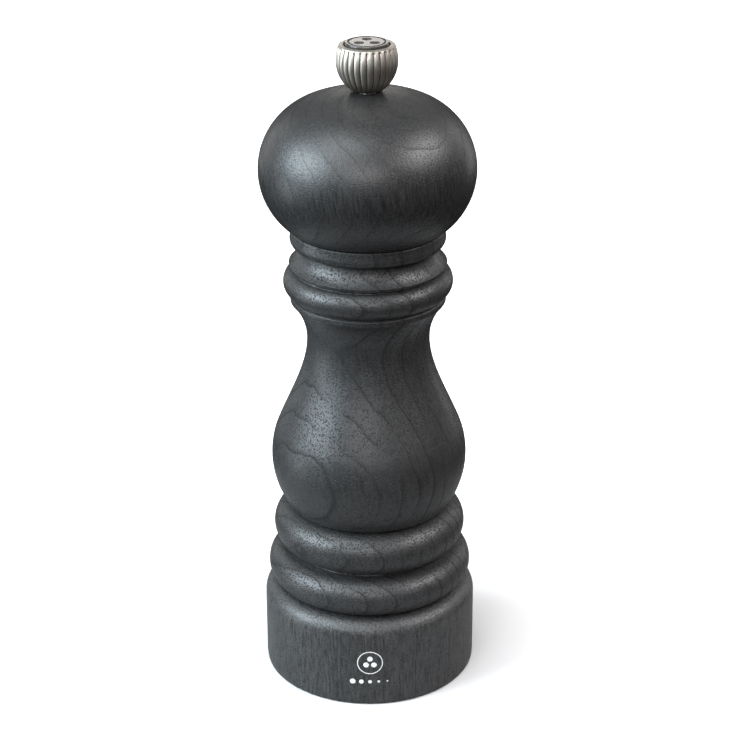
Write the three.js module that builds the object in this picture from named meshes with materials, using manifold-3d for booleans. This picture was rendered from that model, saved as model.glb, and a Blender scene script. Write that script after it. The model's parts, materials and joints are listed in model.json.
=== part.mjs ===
// A turned wooden pepper mill that stands on its base ring.
//
// The head turns the shaft and the rotor inside the fixed stator. The base ring is a selector: its cam
// lifts the thrust collar and the rotor, which narrows the grinding gap. The knob unscrews from the
// shaft, and then the head lifts off, so that the chamber can be filled.
//
// Millimetres, +Z up, origin at the centre of the base.

import * as THREE from 'three';
import { mergeVertices } from 'three/addons/utils/BufferGeometryUtils.js';
import Module from 'manifold-3d';

const wasm = await Module();
wasm.setup();

// ---------- Driving dimensions ----------

const GAP = 0.3; // between pieces that touch
const TURNED_SIDES = 40;
const SMALL_SIDES = 12;

// Base ring, which is the grind selector
const BASE_R = 29.45;
const BASE_TOP = 25.45;
const SHOULDER_R = 4.75;
const OUTLET_R = 18.2;
const CAM_SEAT_Z = 8.7;
const CAM_SEAT_R = 22;

// Body
const BODY_BOTTOM = BASE_TOP + GAP;
const BODY_TOP = 130.05;
const MECHANISM_BORE_R = 15.5;
const MECHANISM_BORE_TOP = 46.8;
const CHAMBER_R = 12.5;
const MOUTH_R = 15.4;
const MOUTH_FLOOR = 114;
const NECK_R = 16.59;
const NECK_Z = 98.5;

// Head
const SEAM_R = 20.6;
const DOME_R = 28.72;
const DOME_Z = 146.08;
const DOME_CURVE = 19.38;
const CROWN_Z = 167;
const TENON_R = 15;
const TENON_BOTTOM = 119;
const HEAD_BORE_R = 4.8;
const HEAD_BORE_TOP = 158;
const HEAD_EYE_R = 2.9;

// Shaft
const SHAFT_W = 6;
const SHAFT_BOTTOM = 9;
const SHAFT_SQUARE_TOP = 157;
const SHAFT_TOP = 173.6;
const THREAD_R = 2.4;
const GROOVE_R = 2.8;
const GROOVE_H = 1.2;
const SQUARE_HOLE_W = SHAFT_W + 2 * GAP;
const ROUND_HOLE_R = 4.8; // clears the corners of the square shaft

// Knob
const KNOB_R = 8.1;
const KNOB_HALF_H = 9.1;
const KNOB_Z = 175.3;
const KNOB_BOTTOM = 167.6;
const KNOB_TOP = 179.4;
const KNOB_BORE_R = 3.6;
const KNOB_BORE_TOP = 174.3;
const FLUTES = 28;
const FLUTE_DEPTH = 0.4;
const CAP_R = 5.7;
const CAP_TOP = 180;
const CAP_SEAT_Z = 178;
const INSERT_BORE_R = 2.65;

// Grinder, from the bottom up
const HOUSING_BOTTOM = 7;
const HOUSING_R = 15.2;
const HOUSING_INNER_R = 13.2;
const FLANGE_R = 21.6;
const FLANGE_BOTTOM = 22.9;
const SNAP_RING_Z = 8.1;
const CAM_R = 21.7;
const CAM_BORE_R = 15.6;
const CAM_WALL_R = 19.5;
const CAM_TOP = 20;
const SETTINGS = 6;
const SETTING_STEP = 20; // degrees of turn between two settings
const GRIND_RISE = 1.5; // lift of the rotor from the coarsest setting to the finest
const COLLAR_BOTTOM = 10.3;
const COLLAR_H = 2.7;
const COLLAR_HUB_R = 8.2;
const COLLAR_REACH = 19;
const ARM_W = 4.2;
const ARM_ANGLES = [90, 210, 330];
const WASHER_T = 0.7;
const ROTOR_BOTTOM = 14.3;
const ROTOR_TOP = 30.3;
const ROTOR_TEETH = 14;
const STATOR_BOTTOM = 15.2;
const STATOR_TOP = 27.7;
const STATOR_R = 12.9;
const STATOR_TEETH = 20;
const CONE_SLOPE = 0.28;
const CONE_TOP = 20.7;
const STATOR_MOUTH_R = 11.2; // between tooth tips, at the stator's bottom
const GRIND_GAP = 0.85; // radial, at the coarsest setting
const TOOTH_DEPTH = 0.16; // as a share of the radius
const SPRING_R = 6.5;
const SPRING_WIRE_R = 0.6;
const SPRING_TURNS = 5;
const BRIDGE_BOTTOM = 44;
const BRIDGE_TOP = 46.5;
const SCREW_CIRCLE_R = 19;
const SCREW_ANGLES = [30, 150, 270];
const PLATE_SCREW_CIRCLE_R = 9.6;

// ---------- Geometry helpers ----------

const rad = THREE.MathUtils.degToRad;
const point = (r, z) => new THREE.Vector2(r, z);

/** Points on a circle in the (radius, height) half plane. */
function arc(centreR, centreZ, radius, fromDeg, toDeg, steps) {
  return Array.from({ length: steps + 1 }, (_, i) => {
    const a = rad(fromDeg + ((toDeg - fromDeg) * i) / steps);
    return point(centreR + radius * Math.cos(a), centreZ + radius * Math.sin(a));
  });
}

/** Welds a geometry to bare positions, drops folded triangles and turns its faces outwards. */
function welded(geometry) {
  const bare = new THREE.BufferGeometry();
  bare.setAttribute('position', geometry.getAttribute('position').clone());
  if (geometry.index) bare.setIndex(geometry.index.clone());
  const merged = mergeVertices(bare, 1e-3);
  const p = merged.getAttribute('position');
  const [a, b, c] = [new THREE.Vector3(), new THREE.Vector3(), new THREE.Vector3()];
  const kept = [];
  let volume = 0;
  for (let i = 0; i < merged.index.count; i += 3) {
    const [i0, i1, i2] = [0, 1, 2].map((k) => merged.index.getX(i + k));
    if (i0 === i1 || i1 === i2 || i2 === i0) continue;
    kept.push([i0, i1, i2]);
    a.fromBufferAttribute(p, i0);
    b.fromBufferAttribute(p, i1);
    c.fromBufferAttribute(p, i2);
    volume += a.dot(b.cross(c));
  }
  const faces = volume < 0 ? kept.map(([i0, i1, i2]) => [i0, i2, i1]) : kept;
  merged.setIndex(faces.flat());
  merged.computeVertexNormals();
  return merged;
}

/** A solid of revolution. Its profile starts and ends on the axis, or closes on itself. */
function turned(profile, sides = TURNED_SIDES) {
  return welded(new THREE.LatheGeometry(profile, sides).rotateX(Math.PI / 2));
}

/** A solid of revolution with a hole along its axis. */
function turnedRing(profile, sides = TURNED_SIDES) {
  return turned([...profile, profile[0]], sides);
}

function ring(innerR, outerR, bottom, top, sides = TURNED_SIDES) {
  const corners = [point(innerR, bottom), point(outerR, bottom), point(outerR, top), point(innerR, top)];
  return turnedRing(corners, sides);
}

function rod(radius, bottom, top, sides = SMALL_SIDES) {
  const geometry = new THREE.CylinderGeometry(radius, radius, top - bottom, sides);
  return welded(geometry.rotateX(Math.PI / 2).translate(0, 0, (bottom + top) / 2));
}

function block(x0, x1, y0, y1, z0, z1) {
  const geometry = new THREE.BoxGeometry(x1 - x0, y1 - y0, z1 - z0);
  return welded(geometry.translate((x0 + x1) / 2, (y0 + y1) / 2, (z0 + z1) / 2));
}

function squareBar(width, bottom, top) {
  return block(-width / 2, width / 2, -width / 2, width / 2, bottom, top);
}

function extruded(shape, bottom, top, curveSegments = 12) {
  const options = { depth: top - bottom, bevelEnabled: false, curveSegments };
  return welded(new THREE.ExtrudeGeometry(shape, options).translate(0, 0, bottom));
}

/** The geometry moved to a point on a circle about the axis. */
function onCircle(geometry, radius, deg) {
  return geometry.clone().translate(radius * Math.cos(rad(deg)), radius * Math.sin(rad(deg)), 0);
}

function toSolid(geometry) {
  const mesh = welded(geometry);
  return new wasm.Manifold(
    new wasm.Mesh({
      numProp: 3,
      vertProperties: Float32Array.from(mesh.getAttribute('position').array),
      triVerts: Uint32Array.from(mesh.index.array),
    }),
  );
}

function fromSolid(solid) {
  const { vertProperties, triVerts } = solid.getMesh();
  const geometry = new THREE.BufferGeometry();
  geometry.setAttribute('position', new THREE.BufferAttribute(Float32Array.from(vertProperties), 3));
  geometry.setIndex(Array.from(triVerts));
  geometry.computeVertexNormals();
  return geometry;
}

function cut(base, ...tools) {
  return fromSolid(tools.reduce((solid, tool) => solid.subtract(toSolid(tool)), toSolid(base)));
}

function join(base, ...others) {
  return fromSolid(others.reduce((solid, other) => solid.add(toSolid(other)), toSolid(base)));
}

/** An open ring, such as a snap ring, with its opening at openDeg. */
function openRing(innerR, outerR, bottom, top, openDeg, openingDeg) {
  const from = rad(openDeg + openingDeg / 2);
  const to = rad(openDeg + 360 - openingDeg / 2);
  const shape = new THREE.Shape();
  shape.absarc(0, 0, outerR, from, to, false);
  shape.absarc(0, 0, innerR, to, from, true);
  return extruded(shape, bottom, top, 9);
}

/** A pan-head screw on the axis. Its tip is at tipZ, its shank ends at headZ, and the head goes on. */
function screw(shankR, headR, tipZ, headZ, headH) {
  const way = Math.sign(headZ - tipZ);
  const profile = [
    point(0, tipZ),
    point(shankR, tipZ + way * shankR),
    point(shankR, headZ),
    point(headR, headZ),
    point(headR, headZ + way * headH * 0.5),
    point(headR * 0.7, headZ + way * headH),
    point(0, headZ + way * headH),
  ];
  return turned(profile, 12);
}

/** A tapered, twisted prism with saw teeth, whose tips lie at radiusAt(z). */
function toothedCone(teeth, inward, bottom, top, steps, twistDeg, radiusAt) {
  const outline = [];
  for (let i = 0; i < teeth; i += 1) {
    const start = (i / teeth) * 2 * Math.PI;
    const pitch = (2 * Math.PI) / teeth;
    const valley = inward ? 1 + TOOTH_DEPTH * 0.7 : 1 - TOOTH_DEPTH;
    outline.push(point(Math.cos(start), Math.sin(start)));
    outline.push(point(valley * Math.cos(start + pitch * 0.3), valley * Math.sin(start + pitch * 0.3)));
  }
  const options = { depth: top - bottom, steps, bevelEnabled: false };
  const geometry = new THREE.ExtrudeGeometry(new THREE.Shape(outline), options).translate(0, 0, bottom);
  const p = geometry.getAttribute('position');
  const v = new THREE.Vector3();
  const axis = new THREE.Vector3(0, 0, 1);
  for (let i = 0; i < p.count; i += 1) {
    v.fromBufferAttribute(p, i);
    const turn = rad((twistDeg * (v.z - bottom)) / (top - bottom));
    const radius = radiusAt(v.z);
    v.set(v.x * radius, v.y * radius, v.z).applyAxisAngle(axis, turn);
    p.setXYZ(i, v.x, v.y, v.z);
  }
  return welded(geometry);
}

class Helix extends THREE.Curve {
  constructor(radius, bottom, top, turns) {
    super();
    Object.assign(this, { radius, bottom, top, turns });
  }

  getPoint(t, target = new THREE.Vector3()) {
    const a = 2 * Math.PI * this.turns * t;
    const z = THREE.MathUtils.lerp(this.bottom, this.top, t);
    return target.set(this.radius * Math.cos(a), this.radius * Math.sin(a), z);
  }
}

// ---------- Wooden pieces ----------

/** The outside of the body, from its bottom edge to the rim of its mouth. */
function bodyOutline() {
  const bulb = arc(2.78, 64, 24, -35.5, 22, 7);
  const neck = new THREE.CubicBezierCurve(
    bulb.at(-1),
    point(21.6, 81.5),
    point(NECK_R, 90),
    point(NECK_R, NECK_Z),
  ).getPoints(5);
  return [
    ...arc(22.8, 30.8, 5.4, -69.2, 82, 7), // lower bead
    point(22.4, 36.6),
    ...arc(20.2, 43, 6.3, -72, 78, 7), // upper bead
    point(20.5, 49.5),
    ...bulb,
    ...neck.slice(1),
    ...arc(NECK_R + 16.5, NECK_Z, 16.5, 180, 139.6, 4).slice(1), // flare under the mouldings
    point(20.9, 109.6), // fillet ring
    point(20.9, 110.9),
    ...arc(18.98, 114.97, 3.76, -72, 72, 5), // wide bead
    point(20, 118.9),
    point(21.05, 119.4), // crisp edge below the cove
    point(21.05, 120.2),
    ...arc(24.2, 125.4, 6, 240, 180, 3), // cove
    ...arc(18.8, 127.3, 2, -62, 15, 3), // rim bead
    point(20.6, BODY_TOP),
  ];
}

function bodyGeometry() {
  const profile = [
    point(MECHANISM_BORE_R, BODY_BOTTOM),
    ...bodyOutline(),
    point(MOUTH_R, BODY_TOP),
    point(MOUTH_R, MOUTH_FLOOR),
    point(CHAMBER_R, MOUTH_FLOOR),
    point(CHAMBER_R, MECHANISM_BORE_TOP),
    point(MECHANISM_BORE_R, MECHANISM_BORE_TOP),
  ];
  const pilot = rod(1.6, BODY_BOTTOM - 1, 34);
  const pilots = SCREW_ANGLES.map((deg) => onCircle(pilot, SCREW_CIRCLE_R, deg));
  return cut(turnedRing(profile), ...pilots);
}

function headGeometry() {
  const dome = arc(DOME_R - DOME_CURVE, DOME_Z, DOME_CURVE, -54.2, 70, 12);
  const crown = new THREE.CubicBezierCurve(
    dome.at(-1),
    point(10.48, 166.29),
    point(7.54, CROWN_Z),
    point(HEAD_EYE_R, CROWN_Z),
  ).getPoints(4);
  const profile = [
    point(HEAD_BORE_R, TENON_BOTTOM),
    point(TENON_R, TENON_BOTTOM),
    point(TENON_R, BODY_TOP + GAP),
    ...dome,
    ...crown.slice(1),
    point(HEAD_EYE_R, HEAD_BORE_TOP),
    point(HEAD_BORE_R, HEAD_BORE_TOP),
  ];
  const pilot = rod(1.4, TENON_BOTTOM - 1, 128);
  const pilots = SCREW_ANGLES.map((deg) => onCircle(pilot, PLATE_SCREW_CIRCLE_R, deg));
  return cut(turnedRing(profile), ...pilots);
}

function selectorRingGeometry() {
  return turnedRing([
    point(OUTLET_R, 0),
    point(BASE_R - 0.4, 0),
    point(BASE_R - 0.15, 0.35),
    point(BASE_R, 1.6),
    ...arc(BASE_R - SHOULDER_R, BASE_TOP - SHOULDER_R, SHOULDER_R, 0, 90, 6),
    point(CAM_SEAT_R, BASE_TOP),
    point(CAM_SEAT_R, CAM_SEAT_Z),
    point(OUTLET_R, CAM_SEAT_Z),
  ]);
}

// ---------- Knob ----------

const ballRadius = (z) => KNOB_R * Math.sqrt(1 - ((z - KNOB_Z) / KNOB_HALF_H) ** 2);

function knobGeometry() {
  const lowest = Math.asin((KNOB_BOTTOM - KNOB_Z) / KNOB_HALF_H);
  const highest = Math.asin((KNOB_TOP - KNOB_Z) / KNOB_HALF_H);
  const steps = 7;
  const ball = Array.from({ length: steps + 1 }, (_, i) => {
    const z = KNOB_Z + KNOB_HALF_H * Math.sin(THREE.MathUtils.lerp(lowest, highest, i / steps));
    return point(ballRadius(z), z);
  });
  const profile = [
    point(0, KNOB_BORE_TOP),
    point(KNOB_BORE_R, KNOB_BORE_TOP),
    point(KNOB_BORE_R, KNOB_BOTTOM),
    ...ball,
    point(CAP_R + GAP, KNOB_TOP),
    point(CAP_R + GAP, CAP_SEAT_Z),
    point(0, CAP_SEAT_Z),
  ];
  const geometry = turned(profile, 2 * FLUTES);
  const p = geometry.getAttribute('position');
  for (let i = 0; i < p.count; i += 1) {
    const [x, y, z] = [p.getX(i), p.getY(i), p.getZ(i)];
    const r = Math.hypot(x, y);
    const betweenRims = z > KNOB_BOTTOM + 0.1 && z < KNOB_TOP - 0.1;
    const onBall = betweenRims && Math.abs(r - ballRadius(z)) < 0.01;
    const meridian = Math.round((Math.atan2(y, x) * FLUTES) / Math.PI);
    if (onBall && meridian % 2 !== 0) {
      const share = (r - FLUTE_DEPTH) / r;
      p.setXYZ(i, x * share, y * share, z);
    }
  }
  return geometry;
}

function knobCapGeometry() {
  return turned([
    point(0, CAP_SEAT_Z + GAP),
    point(CAP_R, CAP_SEAT_Z + GAP),
    point(CAP_R, CAP_TOP - 0.15),
    point(CAP_R - 0.15, CAP_TOP),
    point(0, CAP_TOP),
  ], 28);
}

function knobInsertGeometry() {
  const bottom = CROWN_Z + GAP;
  return turnedRing([
    point(INSERT_BORE_R, bottom),
    point(KNOB_BORE_R - GAP, bottom),
    point(KNOB_BORE_R - GAP, KNOB_BORE_TOP - GAP),
    point(INSERT_BORE_R, KNOB_BORE_TOP - GAP),
  ], 24);
}

// ---------- Shaft and what it drives ----------

const CLIP_T = 0.6;
const LOWER_GROOVE_Z = BRIDGE_BOTTOM - 1.3;
const UPPER_GROOVE_Z = BRIDGE_TOP + 0.1;

function shaftGeometry() {
  const square = squareBar(SHAFT_W, SHAFT_BOTTOM, SHAFT_SQUARE_TOP);
  const threaded = turned([
    point(0, SHAFT_SQUARE_TOP - 2),
    point(THREAD_R, SHAFT_SQUARE_TOP - 2),
    point(THREAD_R, SHAFT_TOP - 0.5),
    point(THREAD_R - 0.5, SHAFT_TOP),
    point(0, SHAFT_TOP),
  ], SMALL_SIDES);
  const grooves = [LOWER_GROOVE_Z, UPPER_GROOVE_Z].map((z) => ring(GROOVE_R, 6, z, z + GROOVE_H, SMALL_SIDES));
  return cut(join(square, threaded), ...grooves);
}

function shaftClipGeometry(grooveZ) {
  const bottom = grooveZ + (GROOVE_H - CLIP_T) / 2;
  return openRing(GROOVE_R + GAP, 5.6, bottom, bottom + CLIP_T, 0, 70);
}

function springGeometry() {
  const bottom = ROTOR_TOP + GAP + CLIP_T + GAP + SPRING_WIRE_R;
  const top = BRIDGE_BOTTOM - GAP - SPRING_WIRE_R;
  const wire = new THREE.Shape();
  wire.absarc(0, 0, SPRING_WIRE_R, 0, 2 * Math.PI, false);
  return welded(
    new THREE.ExtrudeGeometry(wire, {
      extrudePath: new Helix(SPRING_R, bottom, top, SPRING_TURNS),
      steps: SPRING_TURNS * 13,
      curveSegments: 3,
      bevelEnabled: false,
    }),
  );
}

function rotorGeometry() {
  const radiusAt = (z) => STATOR_MOUTH_R - GRIND_GAP - CONE_SLOPE * (z - STATOR_BOTTOM);
  const cone = toothedCone(ROTOR_TEETH, false, ROTOR_BOTTOM, ROTOR_TOP, 6, 70, radiusAt);
  return cut(cone, squareBar(SQUARE_HOLE_W, ROTOR_BOTTOM - 1, ROTOR_TOP + 1));
}

function drivePlateGeometry() {
  const thickness = 1.2;
  const top = TENON_BOTTOM - GAP;
  const hole = rod(1.4, top - 3, top + 1);
  const holes = SCREW_ANGLES.map((deg) => onCircle(hole, PLATE_SCREW_CIRCLE_R, deg));
  const socket = squareBar(SQUARE_HOLE_W, top - 3, top + 1);
  return cut(rod(13, top - thickness, top, 32), socket, ...holes);
}

function drivePlateScrewGeometry(deg) {
  const headZ = TENON_BOTTOM - GAP - 1.2 - GAP;
  return onCircle(screw(1.1, 2, 127, headZ, 1.1), PLATE_SCREW_CIRCLE_R, deg);
}

// ---------- Fixed parts of the grinder ----------

const CLICK_SCREW = { x: 3.2, y: 18.7 };

function housingGeometry() {
  const ledgeBottom = STATOR_TOP + GAP;
  const profile = [
    point(HOUSING_INNER_R, HOUSING_BOTTOM),
    point(HOUSING_R, HOUSING_BOTTOM),
    point(HOUSING_R, SNAP_RING_Z - GAP), // groove for the snap ring
    point(HOUSING_R - 0.8, SNAP_RING_Z - GAP),
    point(HOUSING_R - 0.8, SNAP_RING_Z + 0.9),
    point(HOUSING_R, SNAP_RING_Z + 0.9),
    point(HOUSING_R, FLANGE_BOTTOM),
    point(FLANGE_R, FLANGE_BOTTOM),
    point(FLANGE_R, BODY_BOTTOM - GAP),
    point(HOUSING_R, BODY_BOTTOM - GAP),
    point(HOUSING_R, BRIDGE_BOTTOM - GAP),
    point(HOUSING_INNER_R, BRIDGE_BOTTOM - GAP),
    point(HOUSING_INNER_R, ledgeBottom + 2), // ledge above the stator
    point(11.4, ledgeBottom + 1.4),
    point(11.4, ledgeBottom),
    point(HOUSING_INNER_R, ledgeBottom),
  ];
  const slotTop = COLLAR_BOTTOM + COLLAR_H + GRIND_RISE + GAP;
  const slotW = ARM_W + 0.8;
  const slots = ARM_ANGLES.map((deg) =>
    block(10, 18, -slotW / 2, slotW / 2, HOUSING_BOTTOM - 1, slotTop).rotateZ(rad(deg)),
  );
  const hole = rod(1.6, FLANGE_BOTTOM - 1, BODY_BOTTOM + 1);
  const holes = SCREW_ANGLES.map((deg) => onCircle(hole, SCREW_CIRCLE_R, deg));
  const clickHole = rod(1.1, FLANGE_BOTTOM - 1, BODY_BOTTOM + 1).translate(CLICK_SCREW.x, CLICK_SCREW.y, 0);
  return cut(turnedRing(profile), ...slots, ...holes, clickHole);
}

function statorGeometry() {
  const coneTopR = STATOR_MOUTH_R - CONE_SLOPE * (CONE_TOP - STATOR_BOTTOM);
  const radiusAt = (z) => (z < CONE_TOP ? STATOR_MOUTH_R - CONE_SLOPE * (z - STATOR_BOTTOM) : coneTopR);
  const bore = toothedCone(STATOR_TEETH, true, STATOR_BOTTOM - 1, STATOR_TOP + 1, 6, -40, radiusAt);
  return cut(rod(STATOR_R, STATOR_BOTTOM, STATOR_TOP, TURNED_SIDES), bore);
}

function housingScrewGeometry(deg) {
  return onCircle(screw(1.3, 2.3, 33, FLANGE_BOTTOM - GAP, 1.2), SCREW_CIRCLE_R, deg);
}

/** A three-spoke bearing for the shaft, which lets the peppercorns through. */
function bridgeGeometry() {
  const [hubR, rimR, spokeDeg] = [8.4, 13, 24];
  const shape = new THREE.Shape();
  shape.absarc(0, 0, HOUSING_R, 0, 2 * Math.PI, false);
  const bearing = new THREE.Path();
  bearing.absarc(0, 0, ROUND_HOLE_R, 0, 2 * Math.PI, true);
  shape.holes.push(bearing);
  for (const deg of ARM_ANGLES) {
    const from = rad(deg + spokeDeg / 2);
    const to = rad(deg + 120 - spokeDeg / 2);
    const passage = new THREE.Path();
    passage.absarc(0, 0, rimR, from, to, false);
    passage.absarc(0, 0, hubR, to, from, true);
    shape.holes.push(passage);
  }
  return extruded(shape, BRIDGE_BOTTOM, BRIDGE_TOP, 8);
}

// ---------- Selector ----------

/** Height of the cam's track above its floor, at an angle about the axis. */
function rampHeight(deg) {
  const turn = THREE.MathUtils.euclideanModulo(ARM_ANGLES[0] - deg, 120);
  const full = (SETTINGS - 1) * SETTING_STEP;
  if (turn > full + 6) return 0;
  return GRIND_RISE * Math.min(turn / full, 1);
}

function selectorCamGeometry() {
  const floor = COLLAR_BOTTOM - GAP;
  const bottom = CAM_SEAT_Z + GAP;
  const sleeve = turnedRing([
    point(CAM_BORE_R, bottom),
    point(CAM_R, bottom),
    point(CAM_R, CAM_TOP),
    point(CAM_WALL_R, CAM_TOP),
    point(CAM_WALL_R, floor),
    point(CAM_BORE_R, floor),
  ]);
  const outline = new THREE.Shape();
  outline.absarc(0, 0, CAM_WALL_R + 0.3, 0, 2 * Math.PI, false);
  const inner = new THREE.Path();
  inner.absarc(0, 0, CAM_BORE_R + 0.2, 0, 2 * Math.PI, true);
  outline.holes.push(inner);
  const track = extruded(outline, floor - 0.5, floor, 36);
  const p = track.getAttribute('position');
  for (let i = 0; i < p.count; i += 1) {
    if (p.getZ(i) > floor - 0.1) {
      const deg = THREE.MathUtils.radToDeg(Math.atan2(p.getY(i), p.getX(i)));
      p.setZ(i, floor + Math.max(rampHeight(Math.round(deg)), 0.001));
    }
  }
  const notches = Array.from({ length: SETTINGS }, (_, i) =>
    block(CAM_WALL_R - 1, CAM_R + 1, -0.9, 0.9, CAM_TOP - 1, CAM_TOP + 1).rotateZ(rad(105 - i * SETTING_STEP)),
  );
  return cut(join(sleeve, track), ...notches);
}

/** A three-armed collar that rides on the cam and carries the rotor. */
function thrustCollarGeometry() {
  const top = COLLAR_BOTTOM + COLLAR_H;
  const arms = ARM_ANGLES.map((deg) =>
    block(COLLAR_HUB_R - 2, COLLAR_REACH, -ARM_W / 2, ARM_W / 2, COLLAR_BOTTOM, top).rotateZ(rad(deg)),
  );
  return join(ring(ROUND_HOLE_R, COLLAR_HUB_R, COLLAR_BOTTOM, top, 32), ...arms);
}

/** A bent leaf that clicks over the notches in the cam's rim. */
function clickSpringGeometry() {
  const top = FLANGE_BOTTOM - GAP;
  const t = 0.4;
  const tip = CAM_TOP + GAP;
  const side = new THREE.Shape([
    point(2, top),
    point(2, top - t),
    point(-3, tip + 0.7),
    point(-4.6, tip),
    point(-6, tip + 0.9),
    point(-5.8, tip + 1.3),
    point(-4.6, tip + t + 0.15),
    point(-3.1, tip + 0.7 + t),
  ]);
  const width = 2.1;
  const leaf = new THREE.ExtrudeGeometry(side, { depth: width, bevelEnabled: false });
  const inPlace = welded(leaf.rotateX(Math.PI / 2).translate(0, 21, 0));
  const tab = block(1.2, 5, 16.8, 21, top - t, top);
  const hole = rod(1.1, top - 2, top + 1).translate(CLICK_SCREW.x, CLICK_SCREW.y, 0);
  return cut(join(inPlace, tab), hole);
}

function clickScrewGeometry() {
  const headZ = FLANGE_BOTTOM - GAP - 0.4 - GAP;
  return screw(0.8, 1.5, BODY_BOTTOM - 0.5, headZ, 0.8).translate(CLICK_SCREW.x, CLICK_SCREW.y, 0);
}

// ---------- Materials ----------

const finish = (color, roughness, metalness) => () =>
  new THREE.MeshStandardMaterial({ color, roughness, metalness });
const stainedWood = finish(0x2c2d2f, 0.5, 0);
const polishedSteel = finish(0xc2bcb2, 0.22, 1);
const burrSteel = finish(0x77797c, 0.35, 1);
const springSteel = finish(0x9a9ca0, 0.3, 1);
const zincSteel = finish(0xb4b6b8, 0.35, 1);
const aluminium = finish(0xc9cbcd, 0.4, 1);
const brass = finish(0xb8924e, 0.3, 1);
const darkCap = finish(0x1d1d1e, 0.35, 0);
const blackPlastic = finish(0x222324, 0.55, 0);
const greyPlastic = finish(0x55585b, 0.55, 0);

// ---------- Assembly ----------

const pepperMill = new THREE.Group();

function add(name, geometry, material) {
  const mesh = new THREE.Mesh(geometry, material());
  mesh.name = name;
  pepperMill.add(mesh);
}

add('body', bodyGeometry(), stainedWood);
add('grinder_housing', housingGeometry(), blackPlastic);
add('stator_ring', statorGeometry(), burrSteel);
add('bearing_bridge', bridgeGeometry(), blackPlastic);
SCREW_ANGLES.forEach((deg, i) => add(`housing_screw_${i + 1}`, housingScrewGeometry(deg), zincSteel));
add('click_spring', clickSpringGeometry(), springSteel);
add('click_spring_screw', clickScrewGeometry(), zincSteel);
add(
  'selector_snap_ring',
  openRing(HOUSING_R - 0.5, HOUSING_R + 2.2, SNAP_RING_Z, SNAP_RING_Z + CLIP_T, 0, 30),
  springSteel,
);

add('grind_selector_ring', selectorRingGeometry(), stainedWood);
add('selector_cam', selectorCamGeometry(), greyPlastic);

add('thrust_collar', thrustCollarGeometry(), greyPlastic);
const thrustWasherZ = COLLAR_BOTTOM + COLLAR_H + GAP;
add('thrust_washer', ring(ROUND_HOLE_R, 8, thrustWasherZ, thrustWasherZ + WASHER_T, 32), zincSteel);

add('drive_shaft', shaftGeometry(), aluminium);
add('shaft_clip_lower', shaftClipGeometry(LOWER_GROOVE_Z), springSteel);
add('shaft_clip_upper', shaftClipGeometry(UPPER_GROOVE_Z), springSteel);
add('rotor_spring', springGeometry(), springSteel);
add('rotor', rotorGeometry(), burrSteel);
add('spring_washer', ring(ROUND_HOLE_R, 7.9, ROTOR_TOP + GAP, ROTOR_TOP + GAP + CLIP_T, 32), zincSteel);

add('head', headGeometry(), stainedWood);
add('drive_plate', drivePlateGeometry(), zincSteel);
SCREW_ANGLES.forEach((deg, i) => add(`drive_plate_screw_${i + 1}`, drivePlateScrewGeometry(deg), zincSteel));

add('knob_insert', knobInsertGeometry(), brass);
add('knob', knobGeometry(), polishedSteel);
add('knob_cap', knobCapGeometry(), darkCap);

export default pepperMill;
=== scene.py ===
"""A turned, graphite-stained pepper mill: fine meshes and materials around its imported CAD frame.

Lengths in this script are millimetres, and every mesh is scaled to metres when it is made.
Heights and radii that the CAD nodes fix are read from the frame; the turned mouldings between them
repeat the arcs of the CAD outline with more steps and eased edges.
"""

import itertools
import json
import math

import bmesh
import bpy
import numpy as np
from mathutils import Matrix, Vector

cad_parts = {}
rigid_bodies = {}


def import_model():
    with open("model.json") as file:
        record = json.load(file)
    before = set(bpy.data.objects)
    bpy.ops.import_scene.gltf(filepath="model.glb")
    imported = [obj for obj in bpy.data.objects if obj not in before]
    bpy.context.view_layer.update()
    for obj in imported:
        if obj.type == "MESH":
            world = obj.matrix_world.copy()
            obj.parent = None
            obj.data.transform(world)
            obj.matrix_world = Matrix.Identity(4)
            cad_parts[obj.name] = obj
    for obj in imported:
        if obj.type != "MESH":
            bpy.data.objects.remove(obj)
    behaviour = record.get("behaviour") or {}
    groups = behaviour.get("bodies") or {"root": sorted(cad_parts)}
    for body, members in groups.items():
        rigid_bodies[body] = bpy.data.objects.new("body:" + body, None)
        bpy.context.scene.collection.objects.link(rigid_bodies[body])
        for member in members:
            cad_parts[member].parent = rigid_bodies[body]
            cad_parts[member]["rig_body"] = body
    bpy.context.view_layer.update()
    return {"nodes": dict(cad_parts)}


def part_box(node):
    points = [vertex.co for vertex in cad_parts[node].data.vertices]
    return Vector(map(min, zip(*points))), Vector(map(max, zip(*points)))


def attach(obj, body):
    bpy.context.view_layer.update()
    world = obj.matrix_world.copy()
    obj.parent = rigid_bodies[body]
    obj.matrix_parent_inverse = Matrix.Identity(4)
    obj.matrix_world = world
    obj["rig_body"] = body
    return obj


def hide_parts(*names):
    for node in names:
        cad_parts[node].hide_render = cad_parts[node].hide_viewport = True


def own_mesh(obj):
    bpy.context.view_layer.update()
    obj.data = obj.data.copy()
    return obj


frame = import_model()

MM = 0.001
GAP = 0.3  # between CAD pieces that touch
FINE_SIDES = 256
SMALL_SIDES = 96
SHARP_EDGE = math.radians(38)
WELD = 2e-7  # in metres
THIRDS = (90, 210, 330)  # degrees
SCREWS_IN_PLATE = [f"drive_plate_screw_{i}" for i in (1, 2, 3)]
SCREWS_IN_HOUSING = [f"housing_screw_{i}" for i in (1, 2, 3)]


def levels(node):
    """Lowest and highest z of a CAD node, in millimetres."""
    low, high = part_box(node)
    return low.z / MM, high.z / MM


def reach(node):
    """Outer radius of a round CAD node, in millimetres."""
    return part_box(node)[1].x / MM


def middle(node):
    """Centre of a CAD node seen from above, in millimetres."""
    low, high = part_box(node)
    return (low.x + high.x) / 2 / MM, (low.y + high.y) / 2 / MM


# ---------------------------------------------------------------- outlines


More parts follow.
